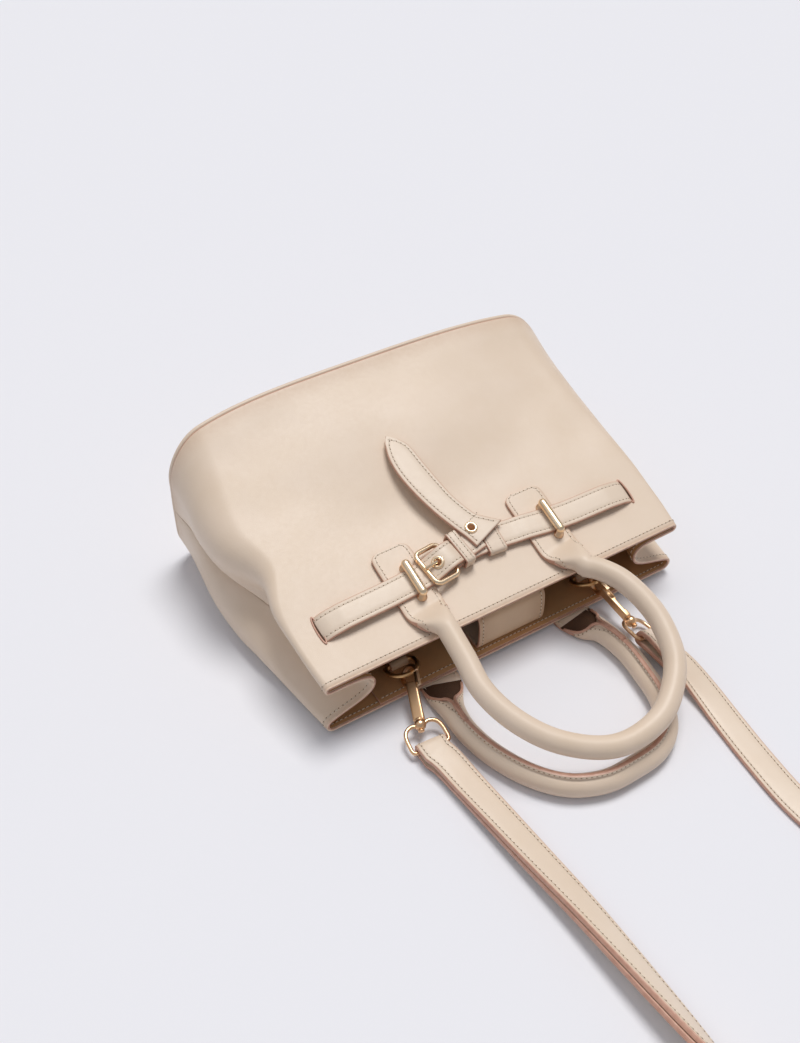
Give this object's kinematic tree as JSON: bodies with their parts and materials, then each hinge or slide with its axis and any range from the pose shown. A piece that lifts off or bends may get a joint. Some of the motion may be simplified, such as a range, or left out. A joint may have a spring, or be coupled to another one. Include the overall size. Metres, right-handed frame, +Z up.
{
  "type": "top handle bag",
  "caption": "Small leather top handle bag lying on its back, with a belted front, two rolled handles and a clipped shoulder strap.",
  "frame": {"origin": "middle of the box round the bag and its handles, on the surface that it lies on; the shoulder strap is not counted", "axes": "+X across the bag, +Y from the handles towards the base, +Z up, out of the front of the bag that lies on its back"},
  "size_m": [0.2642, 0.6149, 0.0955],
  "materials": {
    "leather": "satin",
    "edge_leather": "satin",
    "lining_fabric": "matt",
    "board": "matt",
    "core": "matt",
    "gold_metal": "polished"
  },
  "bodies": {
    "bag_body": {"front_body": "leather", "back_body": "leather", "base_panel": "leather", "base_piping": "edge_leather", "base_board": "board", "lining": "lining_fabric", "front_facing": "leather", "back_facing": "leather", "tab_root": "leather", "snap_socket": "gold_metal", "front_end_left": "leather", "front_end_right": "leather", "rear_end_left": "leather", "rear_end_right": "leather", "belt_left": "leather", "belt_right": "leather", "keeper_band": "leather", "belt_loop": "leather", "eyelet_belt": "gold_metal", "buckle_frame": "gold_metal", "bar_left": "gold_metal", "bar_right": "gold_metal", "ring_tab_left": "leather", "ring_tab_right": "leather", "strap_loop_left": "gold_metal", "strap_loop_right": "gold_metal", "shoulder_strap": "leather", "strap_return": "leather", "strap_end_right": "leather", "strap_slider": "gold_metal"},
    "front_handle_part": {"front_handle": "leather", "front_handle_core": "core"},
    "rear_handle_part": {"rear_handle": "leather", "rear_handle_core": "core"},
    "closure_part": {"closure_tab": "leather", "snap_stud": "gold_metal"},
    "prong": {"buckle_prong": "gold_metal"},
    "pointed_end": {"pointed_strap": "leather", "eyelet_point": "gold_metal"},
    "left_ring": {"ring_left": "gold_metal"},
    "left_clasp": {"clasp_left": "gold_metal"},
    "left_gate": {"gate_left": "gold_metal"},
    "right_ring": {"ring_right": "gold_metal"},
    "right_clasp": {"clasp_right": "gold_metal"},
    "right_gate": {"gate_right": "gold_metal"}
  },
  "joints": [
    {"name": "front_handle_fold", "type": "hinge", "parent": "bag_body", "child": "front_handle_part", "pos_m": [0, -0.0351, 0.05191], "axis": [-1, 0, 0], "range_deg": [0, 110]},
    {"name": "rear_handle_fold", "type": "hinge", "parent": "bag_body", "child": "rear_handle_part", "pos_m": [0, -0.03121, 0], "axis": [1, 0, 0], "range_deg": [0, 100]},
    {"name": "closure_tab_swing", "type": "hinge", "parent": "bag_body", "child": "closure_part", "pos_m": [0, -0.02271, 0.00795], "axis": [-1, 0, 0], "range_deg": [0, 60]},
    {"name": "prong_lift", "type": "hinge", "parent": "bag_body", "child": "prong", "pos_m": [-0.0195, 0.00439, 0.05435], "axis": [-0.1392, 0.9508, 0.2768], "range_deg": [0, 4]},
    {"name": "pointed_end_lift", "type": "hinge", "parent": "bag_body", "child": "pointed_end", "pos_m": [-0.002, 0.00116, 0.0558], "axis": [0.9216, 0.3726, 0.1085], "range_deg": [0, 20]},
    {"name": "left_ring_swing", "type": "hinge", "parent": "bag_body", "child": "left_ring", "pos_m": [-0.062, -0.01286, 0.0091], "axis": [1, 0, 0], "range_deg": [-1, 4]},
    {"name": "left_clasp_swivel", "type": "hinge", "parent": "bag_body", "child": "left_clasp", "pos_m": [-0.07296, -0.05349, 0.00761], "axis": [-0.3529, -0.9194, -0.1736], "range_deg": [-3, 20]},
    {"name": "left_gate_open", "type": "hinge", "parent": "left_clasp", "child": "left_gate", "pos_m": [-0.06231, -0.03454, 0.01521], "axis": [-0.7552, 0.1703, 0.633], "range_deg": [0, 18], "stiffness_Nm_per_rad": 0.01, "springref_deg": -8.59},
    {"name": "right_ring_swing", "type": "hinge", "parent": "bag_body", "child": "right_ring", "pos_m": [0.064, -0.01286, 0.0091], "axis": [1, 0, 0], "range_deg": [-4, 6]},
    {"name": "right_clasp_swivel", "type": "hinge", "parent": "bag_body", "child": "right_clasp", "pos_m": [0.06617, -0.05561, 0.00907], "axis": [0.0689, -0.9853, -0.1564], "range_deg": [-15, 15]},
    {"name": "right_gate_open", "type": "hinge", "parent": "right_clasp", "child": "right_gate", "pos_m": [0.06467, -0.03421, 0.01743], "axis": [-0.9976, -0.0698, 0], "range_deg": [0, 18], "stiffness_Nm_per_rad": 0.01, "springref_deg": -8.59}
  ]
}
